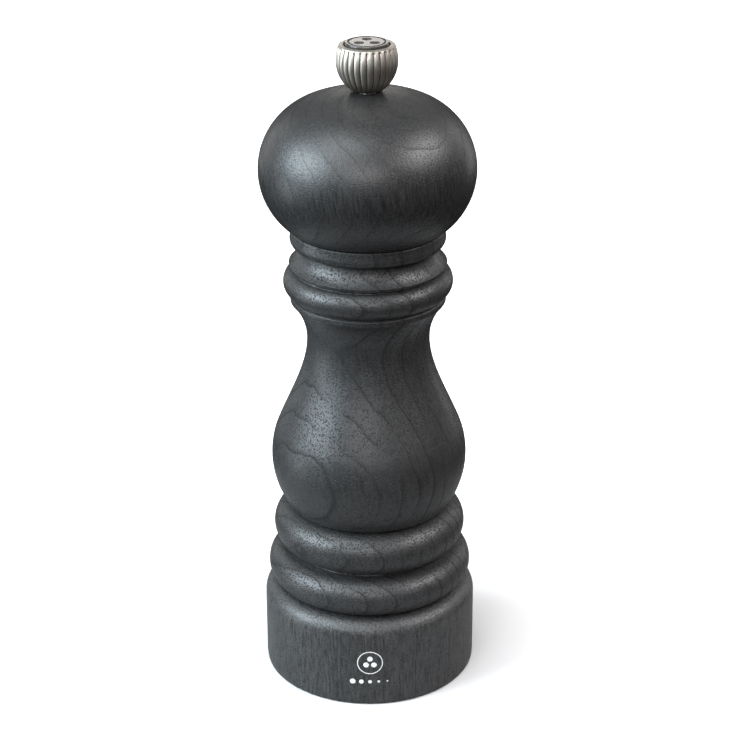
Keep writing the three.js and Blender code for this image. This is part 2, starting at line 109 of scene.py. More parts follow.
def arc(centre_r, centre_z, radius, start, end, steps):
    """Points on a circle in the (radius, height) half plane; angles in degrees."""
    angles = [math.radians(start + (end - start) * i / steps) for i in range(steps + 1)]
    return [(centre_r + radius * math.cos(a), centre_z + radius * math.sin(a)) for a in angles]


def bezier(p0, p1, p2, p3, steps):
    """A cubic curve in the half plane, without its first point."""
    points = []
    for i in range(1, steps + 1):
        t = i / steps
        weights = ((1 - t) ** 3, 3 * t * (1 - t) ** 2, 3 * t * t * (1 - t), t**3)
        points.append(tuple(sum(w * p[k] for w, p in zip(weights, (p0, p1, p2, p3))) for k in (0, 1)))
    return points


def eased(points, ease, steps=4, least_turn=25):
    """The closed outline with its sharp corners rounded over a distance of ease."""
    made = []
    count = len(points)
    for i, corner in enumerate(points):
        here = np.array(corner)
        into = np.array(points[i - 1]) - here
        out = np.array(points[(i + 1) % count]) - here
        long_in, long_out = np.linalg.norm(into), np.linalg.norm(out)
        if min(long_in, long_out) < 1e-9:
            continue
        turn = 180 - math.degrees(math.acos(np.clip(into @ out / (long_in * long_out), -1, 1)))
        if turn < least_turn:
            made.append(corner)
            continue
        first = here + into / long_in * min(ease, 0.45 * long_in)
        last = here + out / long_out * min(ease, 0.45 * long_out)
        for t in np.linspace(0, 1, steps + 1):
            made.append(tuple((1 - t) ** 2 * first + 2 * t * (1 - t) * here + t * t * last))
    return made


# ---------------------------------------------------------------- meshes


def revolved(profile, sides=FINE_SIDES, closed=True):
    """Vertices and faces swept round the z axis.

    profile is a list of (radius, height), or a function of the angle that gives one. It closes on
    itself, or, where closed is false, starts and ends on the axis.
    """
    at = profile if callable(profile) else (lambda angle: profile)
    angles = [2 * math.pi * i / sides for i in range(sides)]
    vertices = [(r * math.cos(a), r * math.sin(a), z) for a in angles for r, z in at(a)]
    rows = len(at(0.0))
    steps = rows if closed else rows - 1
    faces = []
    for i in range(sides):
        here, there = i * rows, (i + 1) % sides * rows
        for j in range(steps):
            k = (j + 1) % rows
            faces.append((here + j, there + j, there + k, here + k))
    return vertices, faces


def tube(path, radius):
    """Vertices and faces of a round wire with flat ends along a path."""
    sides = 14
    points = np.array(path)
    ahead = np.gradient(points, axis=0)
    ahead /= np.linalg.norm(ahead, axis=1)[:, None]
    up = np.array((0.0, 0.0, 1.0))
    vertices, faces = [], []
    for point, way in zip(points, ahead):
        across = np.cross(way, up)
        across /= np.linalg.norm(across)
        other = np.cross(across, way)
        for i in range(sides):
            a = 2 * math.pi * i / sides
            vertices.append(tuple(point + radius * (math.cos(a) * across + math.sin(a) * other)))
    for j in range(len(points) - 1):
        for i in range(sides):
            k = (i + 1) % sides
            faces.append((j * sides + i, j * sides + k, (j + 1) * sides + k, (j + 1) * sides + i))
    last = (len(points) - 1) * sides
    faces.append(tuple(range(sides)))
    faces.append(tuple(last + i for i in reversed(range(sides))))
    return vertices, faces


def to_mesh(name, vertices, faces):
    """A mesh in metres from vertices in millimetres."""
    mesh = bpy.data.meshes.new(name)
    mesh.from_pydata([tuple(MM * c for c in v) for v in vertices], [], faces)
    return mesh


def plate_mesh(name, loops, bottom, top, ease=0.12):
    """A flat piece with rounded edges. The first loop is its outline and the others are holes."""
    curve = bpy.data.curves.new(name, "CURVE")
    curve.dimensions = "2D"
    curve.fill_mode = "BOTH"
    curve.extrude = ((top - bottom) / 2 - ease) * MM
    curve.bevel_depth = ease * MM
    curve.bevel_resolution = 2
    curve.offset = -ease * MM
    for loop in loops:
        spline = curve.splines.new("POLY")
        spline.points.add(len(loop) - 1)
        for point, (x, y) in zip(spline.points, loop):
            point.co = (x * MM, y * MM, 0, 1)
        spline.use_cyclic_u = True
    holder = bpy.data.objects.new(name + "_outline", curve)
    bpy.context.scene.collection.objects.link(holder)
    bpy.context.view_layer.update()
    mesh = bpy.data.meshes.new_from_object(holder)
    bpy.data.objects.remove(holder)
    bpy.data.curves.remove(curve)
    mesh.transform(Matrix.Translation((0, 0, (bottom + top) / 2 * MM)))
    mesh.materials.clear()
    return mesh


def finished(mesh):
    """Welds a mesh, turns its faces outwards and smooths all but its sharp edges."""
    bm = bmesh.new()
    bm.from_mesh(mesh)
    bmesh.ops.remove_doubles(bm, verts=bm.verts, dist=WELD)
    bmesh.ops.dissolve_degenerate(bm, edges=bm.edges, dist=WELD)
    bmesh.ops.recalc_face_normals(bm, faces=bm.faces)
    bm.to_mesh(mesh)
    bm.free()
    mesh.shade_smooth()
    mesh.set_sharp_from_angle(angle=SHARP_EDGE)
    return mesh


def carved(mesh, cutters):
    """The mesh with the cutter meshes taken away."""
    holder = bpy.data.objects.new("carving", mesh)
    bpy.context.scene.collection.objects.link(holder)
    tools = []
    for cutter in cutters:
        tool = bpy.data.objects.new("cutter", cutter)
        bpy.context.scene.collection.objects.link(tool)
        modifier = holder.modifiers.new("cut", "BOOLEAN")
        modifier.operation = "DIFFERENCE"
        modifier.solver = "EXACT"
        modifier.object = tool
        tools.append(tool)
    bpy.context.view_layer.update()
    graph = bpy.context.evaluated_depsgraph_get()
    made = bpy.data.meshes.new_from_object(holder.evaluated_get(graph))
    for o in [holder, *tools]:
        bpy.data.objects.remove(o)
    return made


def piece(name, mesh, material, node):
    """Puts a finished mesh in the scene in place of a CAD node, on that node's body."""
    mesh.materials.clear()
    mesh.materials.append(material)
    mesh.name = name
    obj = bpy.data.objects.new(name, mesh)
    bpy.context.scene.collection.objects.link(obj)
    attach(obj, frame["nodes"][node]["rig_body"])
    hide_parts(node)
    return obj


def box_mesh(low, high, turn=0.0):
    """A cutter block, turned about the z axis by an angle in degrees."""
    corners = list(itertools.product(*zip(low, high)))
    faces = [(0, 1, 3, 2), (4, 6, 7, 5), (0, 4, 5, 1), (2, 3, 7, 6), (0, 2, 6, 4), (1, 5, 7, 3)]
    mesh = to_mesh("cutter_block", corners, faces)
    mesh.transform(Matrix.Rotation(math.radians(turn), 4, "Z"))
    return finished(mesh)


def rod_mesh(x, y, radius, bottom, top):
    """A cutter that drills a round hole."""
    outline = [(0, bottom), (radius, bottom), (radius, top), (0, top)]
    mesh = finished(to_mesh("cutter_rod", *revolved(outline, 32, closed=False)))
    mesh.transform(Matrix.Translation((x * MM, y * MM, 0)))
    return mesh


def ring_loop(radius, sides=SMALL_SIDES, start=0.0, end=360.0):
    """Points round a circle, or from one angle to another, in degrees."""
    whole = end - start >= 360
    count = sides if whole else sides + 1
    angles = [math.radians(start + (end - start) * i / sides) for i in range(count)]
    return [(radius * math.cos(a), radius * math.sin(a)) for a in angles]


# ---------------------------------------------------------------- materials


class Shader:
    """A node material under construction."""

    def __init__(self, name, **surface):
        self.material = bpy.data.materials.new(name)
        self.material.use_nodes = True
        self.tree = self.material.node_tree
        self.surface = self.tree.nodes["Principled BSDF"]
        for socket, value in surface.items():
            self.surface.inputs[socket.replace("_", " ")].default_value = value

    def add(self, kind, *inputs, out=0, **settings):
        """A new node; inputs are values or sockets in the order of its own inputs, None to skip one."""
        node = self.tree.nodes.new("ShaderNode" + kind)
        for key, value in settings.items():
            setattr(node, key, value)
        for socket, value in zip(node.inputs, inputs):
            if value is None:
                continue
            if isinstance(value, bpy.types.NodeSocket):
                self.tree.links.new(value, socket)
            else:
                socket.default_value = value
        return node.outputs[out]

    def maths(self, operation, a, b=0.0, c=0.0):
        return self.add("Math", a, b, c, operation=operation)

    def place(self):
        """Position in the row frame in millimetres, fixed to the piece."""
        return self.add("VectorMath", self.add("TexCoord", out=3), None, None, 1 / MM, operation="SCALE")

    def stretched(self, vector, x, y, z):
        return self.add("VectorMath", vector, (x, y, z), operation="MULTIPLY")

    def noise(self, vector, scale=1.0, detail=2.0, roughness=0.5):
        node = self.tree.nodes.new("ShaderNodeTexNoise")
        self.tree.links.new(vector, node.inputs["Vector"])
        node.inputs["Scale"].default_value = scale
        node.inputs["Detail"].default_value = detail
        node.inputs["Roughness"].default_value = roughness
        return node.outputs["Fac"]

    def dots(self, vector, scale):
        """Distance from the nearest of many scattered points."""
        node = self.tree.nodes.new("ShaderNodeTexVoronoi")
        self.tree.links.new(vector, node.inputs["Vector"])
        node.inputs["Scale"].default_value = scale
        return node.outputs["Distance"]

    def ramp(self, value, *stops):
        """A grey ramp: stops are (place, grey)."""
        node = self.tree.nodes.new("ShaderNodeValToRGB")
        ramp = node.color_ramp
        while len(ramp.elements) < len(stops):
            ramp.elements.new(0.5)
        for element, (position, grey) in zip(ramp.elements, stops):
            element.position = position
            element.color = (grey, grey, grey, 1)
        self.tree.links.new(value, node.inputs[0])
        return node.outputs[0]

    def mix(self, factor, a, b):
        node = self.tree.nodes.new("ShaderNodeMix")
        node.data_type = "RGBA"
        for socket, value in ((node.inputs[0], factor), (node.inputs[6], a), (node.inputs[7], b)):
            if isinstance(value, bpy.types.NodeSocket):
                self.tree.links.new(value, socket)
            else:
                socket.default_value = value if not isinstance(value, tuple) else (*value, 1)
        return node.outputs[2]

    def between(self, value, low, high):
        """The value from 0..1 spread over low..high."""
        node = self.tree.nodes.new("ShaderNodeMapRange")
        self.tree.links.new(value, node.inputs[0])
        node.inputs[3].default_value = low
        node.inputs[4].default_value = high
        return node.outputs[0]

    def bump(self, height, distance, under=None):
        """A bump whose height of 0..1 stands for distance, in millimetres."""
        node = self.tree.nodes.new("ShaderNodeBump")
        node.inputs["Strength"].default_value = 1.0
        node.inputs["Distance"].default_value = distance * MM
        self.tree.links.new(height, node.inputs["Height"])
        if under is not None:
            self.tree.links.new(under, node.inputs["Normal"])
        return node.outputs["Normal"]

    def use(self, **sockets):
        """Links sockets of the surface by name and gives the material back."""
        for name, value in sockets.items():
            self.tree.links.new(value, self.surface.inputs[name.replace("_", " ")])
        return self.material


def stained_wood(name, pith, tilt, rings, pores, fibres, light, sheen):
    """Black-stained beech under a satin lacquer.

    pith is the tree's centre beside the piece, in millimetres, and tilt the lean of the grain.
    Growth rings round it show as dark arches on the swelling shapes. rings is their width and
    strength, pores the pits' spacing, depth and darkness, and fibres the fine grain's strength and depth.
    light is the tone of the palest wood, and sheen the least roughness of its lacquer.
    """
    s = Shader(name, Coat_Weight=0.1, Coat_Roughness=0.35)
    place = s.place()
    drift = s.noise(s.stretched(place, 0.04, 0.04, 0.015), detail=3)
    waver = s.noise(s.stretched(place, 0.25, 0.25, 0.08), detail=2)
    leaning = s.add("Mapping", place, (-pith[0], -pith[1], 0), (tilt[0], tilt[1], 0))
    flat = s.stretched(leaning, 1, 1, 0)
    distance = s.add("VectorMath", flat, operation="LENGTH", out=1)
    warped = s.maths("ADD", distance, s.between(drift, -3.5, 3.5))
    warped = s.maths("ADD", warped, s.between(waver, -0.5, 0.5))
    ring = s.maths("FRACT", s.maths("DIVIDE", warped, rings[0]))
    late = s.ramp(ring, (0.0, 0.0), (0.72, 0.04), (0.88, 0.32), (0.95, 1.0), (1.0, 0.0))
    patchy = s.ramp(s.noise(s.stretched(place, 0.08, 0.08, 0.04), detail=1), (0.36, 0.2), (0.58, 1.0))
    late = s.maths("MULTIPLY", s.maths("MULTIPLY", late, patchy), rings[1])
    fibre = s.noise(s.stretched(leaning, 1.9, 1.9, 0.22), detail=3, roughness=0.6)
    speck = s.noise(place, 1.6, detail=3, roughness=0.6)
    spread = s.maths("ADD", s.dots(place, 1 / pores[0]), s.between(speck, -0.45, 0.45))
    pit = s.ramp(spread, (0.2, 1.0), (0.4, 0.0))
    dark = s.maths("ADD", late, s.maths("MULTIPLY", pit, pores[2]))
    tone = s.maths("ADD", s.between(fibre, -fibres[0], fibres[0]), s.between(drift, 0.35, 0.85))
    tone = s.maths("SUBTRACT", s.maths("ADD", tone, s.between(speck, -0.25, 0.25)), dark)
    colour = s.mix(s.add("Clamp", tone), (0.001, 0.001, 0.001), (light, light, light))
    rough = s.maths("ADD", s.between(speck, sheen, sheen + 0.13), s.maths("MULTIPLY", dark, 0.35))
    rough = s.maths("ADD", rough, s.between(fibre, -0.12 * fibres[0], 0.12 * fibres[0]))
    lathe_marks = s.noise(s.stretched(place, 0.02, 0.02, 3.2), detail=2)
    normal = s.bump(lathe_marks, 0.004)
    normal = s.bump(s.maths("SUBTRACT", fibre, s.maths("MULTIPLY", late, 0.25)), fibres[1], under=normal)
    normal = s.bump(s.maths("SUBTRACT", s.maths("MULTIPLY", speck, 0.5), pit), pores[1], under=normal)
    return s.use(Base_Color=colour, Roughness=rough, Normal=normal)


def fluted_steel(name):
    """Bright stainless steel with painted shade in its grooves and towards the ball's foot; the groove
    attribute is 1 at their bottom.
    """
    s = Shader(name, Metallic=1.0)
    place = s.place()
    groove = s.add("Attribute", attribute_name="groove", out=2)
    cloud = s.noise(s.stretched(place, 0.9, 0.9, 0.5), detail=3)
    brushed = s.noise(s.stretched(place, 5, 5, 0.9), detail=2)
    # depth drives painted shade: the grooves' colour darkens towards their bottom
    depth = s.ramp(groove, (0.35, 0.0), (0.85, 1.0))
    height = s.add("SeparateXYZ", place, out=2)
    foot_top, foot_height = 175.5, 7.5  # where the painted shade starts, which darkens the ball towards its foot
    # painted shade: the ball's colour darkens towards its foot, which sits over the dark dome
    painted_foot_shade = s.maths("DIVIDE", s.maths("SUBTRACT", foot_top, height), foot_height)
    painted_foot_shade = s.maths("ADD", painted_foot_shade, s.between(cloud, -0.25, 0.25))
    unshaded = s.mix(cloud, (0.42, 0.385, 0.335), (0.66, 0.62, 0.56))
    bright = s.mix(s.ramp(painted_foot_shade, (0.0, 0.0), (0.95, 0.85)), unshaded, (0.13, 0.11, 0.09))
    # painted shade in the grooves: dark colour where the flutes are deepest
    colour = s.mix(depth, bright, (0.07, 0.055, 0.04))
    rough = s.maths("ADD", s.between(brushed, 0.36, 0.5), s.maths("MULTIPLY", depth, 0.2))
    return s.use(Base_Color=colour, Roughness=rough, Normal=s.bump(brushed, 0.012))


def metal(name, dark, light, rough, grain=(1.5, 1.5, 1.5), relief=0.006):
    """A plain metal with a faint grain: dark and light are its two tones."""
    s = Shader(name, Metallic=1.0)
    place = s.place()
    cloud = s.noise(s.stretched(place, 0.35, 0.35, 0.35), detail=3)
    lines = s.noise(s.stretched(place, *grain), detail=3)
    colour = s.mix(s.maths("MULTIPLY_ADD", lines, 0.5, s.between(cloud, 0.0, 0.5)), dark, light)
    roughness = s.between(lines, rough - 0.08, rough + 0.1)
    return s.use(Base_Color=colour, Roughness=roughness, Normal=s.bump(lines, relief))


def plastic(name, dark, light, rough, relief=0.01):
    """Moulded acetal with a fine spark-eroded grain."""
    s = Shader(name)
    place = s.place()
    cloud = s.noise(s.stretched(place, 0.12, 0.12, 0.12), detail=2)
    grain = s.noise(s.stretched(place, 4, 4, 4), detail=2)
    colour = s.mix(s.maths("MULTIPLY_ADD", grain, 0.4, s.between(cloud, 0.1, 0.5)), dark, light)
    return s.use(
        Base_Color=colour,
        Roughness=s.between(grain, rough - 0.07, rough + 0.07),
        Normal=s.bump(grain, relief),
    )


def white_print(name):
    """Screen-printed ink, a little thin over the pores."""
    s = Shader(name, Roughness=0.6)
    speck = s.noise(s.stretched(s.place(), 3, 3, 2), detail=2)
    colour = s.mix(s.ramp(speck, (0.3, 0.0), (0.45, 1.0)), (0.4, 0.4, 0.4), (0.78, 0.78, 0.77))
    return s.use(Base_Color=colour, Normal=s.bump(speck, 0.01))


def floor_paint(name, grey, glow):
    """Matt paint. glow is the light that it adds far from the mill, where the lamps don't reach."""
    glow_start, glow_rise = 31, 90
    s = Shader(name, Roughness=0.8, Emission_Color=(1, 1, 1, 1))
    cloud = s.noise(s.stretched(s.place(), 0.01, 0.01, 0.01), detail=2)
    away = s.add("VectorMath", s.place(), operation="LENGTH", out=1)
    far = s.between(s.maths("DIVIDE", s.maths("SUBTRACT", away, glow_start), glow_rise), 0, glow)
    colour = s.mix(cloud, (grey - 0.02,) * 3, (grey,) * 3)
    return s.use(Base_Color=colour, Emission_Strength=far)


HEAD_WOOD = stained_wood(
    "head_wood", (28, -18), (0.05, 0.12), (4.0, 0.5), (0.55, 0.02, 0.3), (0.8, 0.06), 0.022, 0.34
)
BODY_WOOD = stained_wood(
    "body_wood", (44, 30), (0.04, 0.15), (4.0, 1.0), (0.52, 0.08, 0.9), (0.7, 0.05), 0.031, 0.36
)
BASE_WOOD = stained_wood(
    "base_wood", (70, 60), (0.02, 0.03), (3.6, 0.2), (0.55, 0.03, 0.4), (1.0, 0.13), 0.05, 0.35
)
KNOB_STEEL = fluted_steel("fluted_steel")
BRASS = metal("turned_brass", (0.5, 0.33, 0.12), (0.72, 0.52, 0.24), 0.28, (0.3, 0.3, 4))
ALUMINIUM = metal("drawn_aluminium", (0.56, 0.57, 0.58), (0.8, 0.81, 0.82), 0.36, (5, 5, 0.1))
BURR_STEEL = metal("hardened_steel", (0.13, 0.13, 0.14), (0.34, 0.34, 0.35), 0.38, (2, 2, 2), 0.012)
SPRING_STEEL = metal("spring_steel", (0.3, 0.31, 0.33), (0.52, 0.53, 0.55), 0.3, (3, 3, 3))
ZINC = metal("zinc_plate", (0.42, 0.44, 0.46), (0.68, 0.7, 0.72), 0.33, (1.2, 1.2, 1.2))
DISC_PLASTIC = plastic("disc_plastic", (0.02, 0.018, 0.016), (0.055, 0.05, 0.045), 0.16, 0.004)
BLACK_PLASTIC = plastic("black_acetal", (0.012, 0.012, 0.013), (0.035, 0.035, 0.037), 0.45)
GREY_PLASTIC = plastic("grey_acetal", (0.09, 0.093, 0.097), (0.17, 0.175, 0.18), 0.48)
PRINT_INK = white_print("print_ink")

# ---------------------------------------------------------------- wood

BASE_LOW, BASE_HIGH = levels("grind_selector_ring")
BASE_R = reach("grind_selector_ring")
BODY_LOW, BODY_HIGH = levels("body")
HEAD_LOW, CROWN = levels("head")
SEAM = BODY_HIGH + GAP  # the head's underside
OUTLET_R = 18.2
CAM_SEAT_R = 22.0
CAM_SEAT_Z = 8.7
MECHANISM_BORE_R = 15.5
MECHANISM_BORE_TOP = 46.8
CHAMBER_R = 12.5
MOUTH_R = 15.4
MOUTH_FLOOR = 114.0
TENON_R = 15.0
HEAD_BORE_R = 4.8
HEAD_BORE_TOP = 158.0
HEAD_EYE_R = 2.9


def base_outline():
    shoulder = 4.75
    wall = BASE_R - 0.02  # leaves room for the printed mark
    return eased(
        [
            (OUTLET_R, BASE_LOW),
            (wall - 0.38, BASE_LOW),
            (wall - 0.13, BASE_LOW + 0.35),
            (wall, 1.6),
            *arc(wall - shoulder, BASE_HIGH - shoulder, shoulder, 0, 84, 20),
            (wall - shoulder - 0.2, BASE_HIGH),
            (CAM_SEAT_R, BASE_HIGH),
            (CAM_SEAT_R, CAM_SEAT_Z),
            (OUTLET_R, CAM_SEAT_Z),
        ],
        0.3,
    )


def body_outline():
    bulb = arc(2.78, 64, 24, -35.5, 22, 48)
    neck = bezier(bulb[-1], (21.6, 81.5), (16.59, 90), (16.59, 98.5), 30)
    outside = [
        *arc(22.8, 30.8, 5.4, -67, 82, 32),
        (22.4, 36.6),
        *arc(20.2, 43, 6.3, -72, 78, 32),
        (20.5, 49.5),
        *bulb,
        *neck,
        *arc(33.09, 98.5, 16.5, 180, 139.6, 18)[1:],
        (20.9, 109.6),
        (20.9, 110.9),
        *arc(18.98, 114.97, 3.76, -72, 72, 22),
        (20.0, 118.9),
        (21.05, 119.4),
        (21.05, 120.2),
        *arc(24.2, 125.4, 6, 240, 180, 14),
        *arc(18.8, 127.3, 2, -62, 15, 12),
        (20.6, BODY_HIGH - 0.25),
        (20.35, BODY_HIGH),
    ]
    inside = [
        (MOUTH_R, BODY_HIGH),
        (MOUTH_R, MOUTH_FLOOR),
        (CHAMBER_R, MOUTH_FLOOR),
        (CHAMBER_R, MECHANISM_BORE_TOP),
        (MECHANISM_BORE_R, MECHANISM_BORE_TOP),
        (MECHANISM_BORE_R, BODY_LOW),
    ]
    return eased([*outside, *inside, (24.6, BODY_LOW)], 0.14, steps=3, least_turn=30)


def head_outline():
    dome = arc(9.34, 146.08, 19.38, -54.2, 70, 80)
    crown = bezier(dome[-1], (10.48, 166.29), (7.54, CROWN), (HEAD_EYE_R + 0.2, CROWN), 24)
    return eased(
        [
            (HEAD_BORE_R, HEAD_LOW),
            (TENON_R, HEAD_LOW),
            (TENON_R, SEAM),
            (20.3, SEAM),
            *dome,
            *crown,
            (HEAD_EYE_R, CROWN - 0.2),
            (HEAD_EYE_R, HEAD_BORE_TOP),
            (HEAD_BORE_R, HEAD_BORE_TOP),
        ],
        0.2,
    )


def make_wood():
    for name, outline, material, node in (
        ("wood_base", base_outline(), BASE_WOOD, "grind_selector_ring"),
        ("wood_body", body_outline(), BODY_WOOD, "body"),
        ("wood_head", head_outline(), HEAD_WOOD, "head"),
    ):
        piece(name, finished(to_mesh(name, *revolved(outline))), material, node)


def make_front_mark():
    """A generic printed mark: three peppercorns in a ring over a row of dots from coarse to fine."""
    height = 10.4  # of the mark's own origin
    ink = 0.03
    ring_y, ring_inner, ring_outer = 3, 3.3, 3.55
    trio = [math.radians(a) for a in THIRDS]
    dots = [(1.25 * math.cos(a), ring_y + 1.25 * math.sin(a), 0.78) for a in trio]
    scale = [(-4.8 + 2.4 * i, -3.0, 0.8 - 0.14 * i) for i in range(5)]
    ring = [(ring_inner, 0), (ring_outer, 0), (ring_outer, ink), (ring_inner, ink)]
    shapes = [(0, ring_y, *revolved(ring, 72))]
    for x, y, radius in dots + scale:
        outline = [(0, 0), (radius, 0), (radius, ink), (0, ink)]
        shapes.append((x, y, *revolved(outline, 32, closed=False)))
    vertices, faces = [], []
    for x, y, points, quads in shapes:
        start = len(vertices)
        for u, v, depth in points:
            angle = -math.pi / 2 + (x + u) / BASE_R
            radius = BASE_R - ink + depth
            vertices.append((radius * math.cos(angle), radius * math.sin(angle), height + y + v))
        faces.extend(tuple(start + i for i in quad) for quad in quads)
    mesh = finished(to_mesh("front_mark", vertices, faces))
    mesh.materials.append(PRINT_INK)
    mark = bpy.data.objects.new("front_mark", mesh)
    bpy.context.scene.collection.objects.link(mark)
    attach(mark, "selector")


# ---------------------------------------------------------------- knob

FLUTES = 28
KNOB_LOW, KNOB_HIGH = levels("knob")
KNOB_R = reach("knob")
KNOB_MIDDLE = 175.3
KNOB_HALF_H = 9.1
KNOB_BORE_R = 3.6
KNOB_BORE_TOP = 174.3
DISC_R = reach("knob_cap")
DISC_SEAT = levels("knob_cap")[0] - GAP


def ball_radius(z):
    """Radius of the knob's ball at a height."""
    return KNOB_R * math.sqrt(1 - ((z - KNOB_MIDDLE) / KNOB_HALF_H) ** 2)


def flute(angle, z):
    """Depth of the groove at a point of the knob, from 0 on a rib to 1 at a groove's bottom."""
    rib = abs(math.sin(angle * FLUTES / 2)) ** 0.55
    fade_low = min(max((z - KNOB_LOW - 0.25) / 1.2, 0), 1)
    fade_high = min(max((KNOB_HIGH - 0.3 - z) / 0.5, 0), 1)
    return (1 - rib) * min(fade_low, fade_high)


def make_knob():
    depth = 0.42
    rows = 72
    low, high = KNOB_LOW + 0.05, KNOB_HIGH - 0.18
    heights = [low + (high - low) * i / rows for i in range(rows + 1)]
    inside = [
        (DISC_R + 0.75, KNOB_HIGH),
        (DISC_R + 0.45, KNOB_HIGH),
        (DISC_R + GAP, KNOB_HIGH - 0.15),
        (DISC_R + GAP, DISC_SEAT),
        (0, DISC_SEAT),
    ]
    bore = [
        (0, KNOB_BORE_TOP),
        (KNOB_BORE_R, KNOB_BORE_TOP),
        (KNOB_BORE_R, KNOB_LOW),
        (KNOB_BORE_R + 0.4, KNOB_LOW),
    ]

    def profile(angle):
        ball = [(ball_radius(z) - depth * flute(angle, z), z) for z in heights]
        return [*bore, *ball, *inside]

    sides = FLUTES * 14
    vertices, faces = revolved(profile, sides, closed=False)
    mesh = to_mesh("steel_knob", vertices, faces)
    finished(mesh)
    groove = mesh.attributes.new("groove", "FLOAT", "POINT")
    for share, vertex in zip(groove.data, mesh.vertices):
        x, y, z = (c / MM for c in vertex.co)
        on_ball = math.hypot(x, y) > ball_radius(min(z, KNOB_HIGH)) - depth - 0.05 and z < high
        share.value = flute(math.atan2(y, x), z) if on_ball else 0.0
    piece("steel_knob", mesh, KNOB_STEEL, "knob")


def make_knob_disc():
    """The disc in the knob's top, with a shallow ring and three sunk dimples."""
    low, high = levels("knob_cap")
    rows = 44
    thirds = [math.radians(a) for a in THIRDS]
    dimples = [(2.3 * math.cos(a), 2.3 * math.sin(a)) for a in thirds]

    def face_height(r, angle):
        x, y = r * math.cos(angle), r * math.sin(angle)
        sunk = 0.0
        for u, v in dimples:
            near = math.hypot(x - u, y - v) / 1.25
            if near < 1:
                sunk = max(sunk, 0.32 * (1 - near**4))
        ring = 0.2 * math.exp(-(((r - 4.75) / 0.16) ** 2))
        return high - sunk - ring

    def profile(angle):
        top = [(r, face_height(r, angle)) for r in np.linspace(0, DISC_R - 0.2, rows)]
        side = [(DISC_R - 0.06, high - 0.06), (DISC_R, high - 0.2)]
        under = [(DISC_R, low + 0.1), (DISC_R - 0.1, low), (0, low)]
        return [*top, *side, *under]

    mesh = finished(to_mesh("knob_disc", *revolved(profile, 144, closed=False)))
    piece("knob_disc", mesh, DISC_PLASTIC, "knob_cap")


def make_thread_bush():
    low, high = levels("knob_insert")
    bore, barrel = 2.65, reach("knob_insert")
    outline = [(bore, low), (barrel, low), (barrel, high), (bore, high)]
    mesh = finished(to_mesh("thread_bush", *revolved(eased(outline, 0.2), SMALL_SIDES)))
    piece("thread_bush", mesh, BRASS, "knob_insert")


# ---------------------------------------------------------------- shaft and fasteners

SHAFT_LOW, SHAFT_HIGH = levels("drive_shaft")
SHAFT_HALF = 3.0
SQUARE_HOLE_HALF = SHAFT_HALF + GAP
ROUND_HOLE_R = 4.8  # clears the corners of the square shaft
SQUARE_TOP = 157.0
THREAD_R = 2.4
THREAD_PITCH = 0.8
GROOVES = ((42.7, 43.9), (46.6, 47.8))


def square_radius(angle, half):
    """Distance to the side of a square with slightly rounded corners."""
    power = 16
    return half / (abs(math.cos(angle)) ** power + abs(math.sin(angle)) ** power) ** (1 / power)


def thread_radius(angle, z, major, pitch):
    """Radius of a right-hand thread at a point of it."""
    depth = 0.608 * pitch
    phase = (z / pitch - angle / (2 * math.pi)) % 1.0
    return major - depth * (1 - abs(2 * phase - 1))


def thread_rows(bottom, top, pitch):
    """Heights of the rows of points along a thread, ten to a turn."""
    count = int(round((top - bottom) / pitch * 10))
    return [bottom + (top - bottom) * i / count for i in range(count + 1)]


def make_shaft():
    rows = thread_rows(SQUARE_TOP + 1.5, SHAFT_HIGH - 0.5, THREAD_PITCH)

    def profile(angle):
        square = square_radius(angle, SHAFT_HALF)
        points = [(0, SHAFT_LOW), (square - 0.35, SHAFT_LOW), (square, SHAFT_LOW + 0.35)]
        for low, high in GROOVES:
            points += [(square, low), (2.8, low), (2.8, high), (square, high)]
        points += [(square, SQUARE_TOP - 0.6), (min(square, SHAFT_HALF), SQUARE_TOP)]
        points += [(THREAD_R, SQUARE_TOP)]
        points += [(thread_radius(angle, z, THREAD_R, THREAD_PITCH), z) for z in rows]
        return [*points, (THREAD_R - 0.5, SHAFT_HIGH), (0, SHAFT_HIGH)]

    mesh = finished(to_mesh("square_shaft", *revolved(profile, 128, closed=False)))
    piece("square_shaft", mesh, ALUMINIUM, "drive_shaft")


def make_screw(node, head_h, pitch=0.7):
    """A pan-head screw that points up, with a cross recess in its head."""
    low, high = levels(node)
    x, y = middle(node)
    head_r = (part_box(node)[1].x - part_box(node)[0].x) / 2 / MM
    shank = head_r * 0.55
    rows = thread_rows(low + head_h + 0.3, high - shank, pitch)

    def profile(angle):
        crown = [(0, low), (head_r * 0.55, low)]
        head = [*crown, (head_r * 0.85, low + head_h * 0.25), (head_r, low + head_h * 0.6)]
        under = [(head_r - 0.08, low + head_h), (shank, low + head_h)]
        thread = [(thread_radius(angle, z, shank, pitch), z) for z in rows]
        return [*head, *under, *thread, (0, high)]

    mesh = finished(to_mesh(node, *revolved(profile, 48, closed=False)))
    slot, deep = head_r * 0.14, head_h * 0.55
    arms = [
        box_mesh((-head_r * 0.62, -slot, low - 1), (head_r * 0.62, slot, low + deep), turn)
        for turn in (20, 110)
    ]
    mesh = finished(carved(mesh, arms))
    mesh.transform(Matrix.Translation((x * MM, y * MM, 0)))
    piece(node + "_fine", mesh, ZINC, node)


def open_ring(inner, outer, opening):
    """Outline of a ring with an opening centred on +X."""
    half = opening / 2
    outside = ring_loop(outer, 72, half, 360 - half)
    inside = ring_loop(inner, 72, half, 360 - half)
    return [outside + inside[::-1]]


